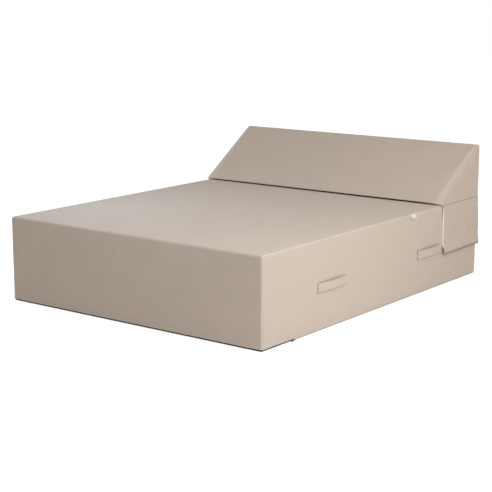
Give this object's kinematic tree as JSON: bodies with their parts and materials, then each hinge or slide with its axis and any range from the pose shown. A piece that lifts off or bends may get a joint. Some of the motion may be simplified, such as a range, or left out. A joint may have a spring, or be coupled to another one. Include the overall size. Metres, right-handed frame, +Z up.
{
  "type": "daybed mattress",
  "caption": "Thick foam daybed mattress in a fitted cloth cover with zip and carry handles, and a lift-off wedge backrest whose skirt flaps hang over the base.",
  "frame": {"origin": "on the floor under the middle of the base", "axes": "+Z up, +Y from the foot end to the head end with the wedge, +X to the right side seen from the foot end"},
  "size_m": [1.628, 2.02, 0.7208],
  "materials": {
    "cover_cloth": "beige plain-woven upholstery cloth, matt",
    "underside_cloth": "dark hard-wearing base cloth, matt",
    "liner_cloth": "thin off-white liner",
    "support_foam": "open-cell foam, cream",
    "topper_foam": "soft open-cell foam, pale blue",
    "zip_tape": "dark woven tape",
    "zip_chain": "dark coil",
    "zip_metal": "dark lacquered metal",
    "handle_strap": "doubled cover cloth, box stitched",
    "hook_and_loop": "beige hook and loop tape",
    "tag_satin": "blank white satin tag"
  },
  "bodies": {
    "base": {"base_foam_lower": "support_foam", "base_foam_upper": "support_foam", "base_foam_topper": "topper_foam", "base_liner": "liner_cloth", "base_cover_wrap": "cover_cloth", "base_cover_side_right": "cover_cloth", "base_cover_side_left": "cover_cloth", "base_cover_underside": "underside_cloth", "base_zip_tape_upper": "zip_tape", "base_zip_tape_lower": "zip_tape", "base_zip_chain": "zip_chain", "handle_right_foot": "handle_strap", "handle_right_head": "handle_strap", "handle_left_foot": "handle_strap", "handle_left_head": "handle_strap", "loop_strip_right": "hook_and_loop", "loop_strip_left": "hook_and_loop", "loop_strip_back": "hook_and_loop", "blank_tag": "tag_satin"},
    "base_slider": {"base_zip_slider": "zip_metal"},
    "base_pull": {"base_zip_pull": "zip_metal"},
    "wedge": {"wedge_foam": "support_foam", "wedge_liner": "liner_cloth", "wedge_cover_wrap": "cover_cloth", "wedge_cover_back_strip": "cover_cloth", "wedge_cover_end_right": "cover_cloth", "wedge_cover_end_left": "cover_cloth", "wedge_cover_underside": "underside_cloth", "wedge_zip_tape_upper": "zip_tape", "wedge_zip_tape_lower": "zip_tape", "wedge_zip_chain": "zip_chain"},
    "wedge_slider": {"wedge_zip_slider": "zip_metal"},
    "wedge_pull": {"wedge_zip_pull": "zip_metal"},
    "flap_right": {"skirt_flap_right": "cover_cloth", "hook_strip_right": "hook_and_loop"},
    "flap_left": {"skirt_flap_left": "cover_cloth", "hook_strip_left": "hook_and_loop"},
    "flap_back": {"skirt_flap_back": "cover_cloth", "hook_strip_back": "hook_and_loop"}
  },
  "joints": [
    {"name": "wedge_lift", "type": "slide", "parent": "base", "child": "wedge", "axis": [0, 0, 1], "range_m": [0, 0.3]},
    {"name": "flap_right_swing", "type": "hinge", "parent": "wedge", "child": "flap_right", "pos_m": [0.793, 0.8, 0.4347], "axis": [0, -1, 0], "range_deg": [0, 150]},
    {"name": "flap_left_swing", "type": "hinge", "parent": "wedge", "child": "flap_left", "pos_m": [-0.793, 0.8, 0.4347], "axis": [0, 1, 0], "range_deg": [0, 150]},
    {"name": "flap_back_swing", "type": "hinge", "parent": "wedge", "child": "flap_back", "pos_m": [0, 1.003, 0.4347], "axis": [1, 0, 0], "range_deg": [0, 150]},
    {"name": "base_zip_slide", "type": "slide", "parent": "base", "child": "base_slider", "axis": [0, -1, 0], "range_m": [0, 0.195]},
    {"name": "base_pull_swing", "type": "hinge", "parent": "base_slider", "child": "base_pull", "pos_m": [0.7952, -0.772, 0.006], "axis": [0, 0, -1], "range_deg": [0, 150]},
    {"name": "wedge_zip_slide", "type": "slide", "parent": "wedge", "child": "wedge_slider", "axis": [1, 0, 0], "range_m": [0, 1.48]},
    {"name": "wedge_pull_swing", "type": "hinge", "parent": "wedge_slider", "child": "wedge_pull", "pos_m": [-0.75, 1.0082, 0.4853], "axis": [0, 0, -1], "range_deg": [0, 150]}
  ]
}
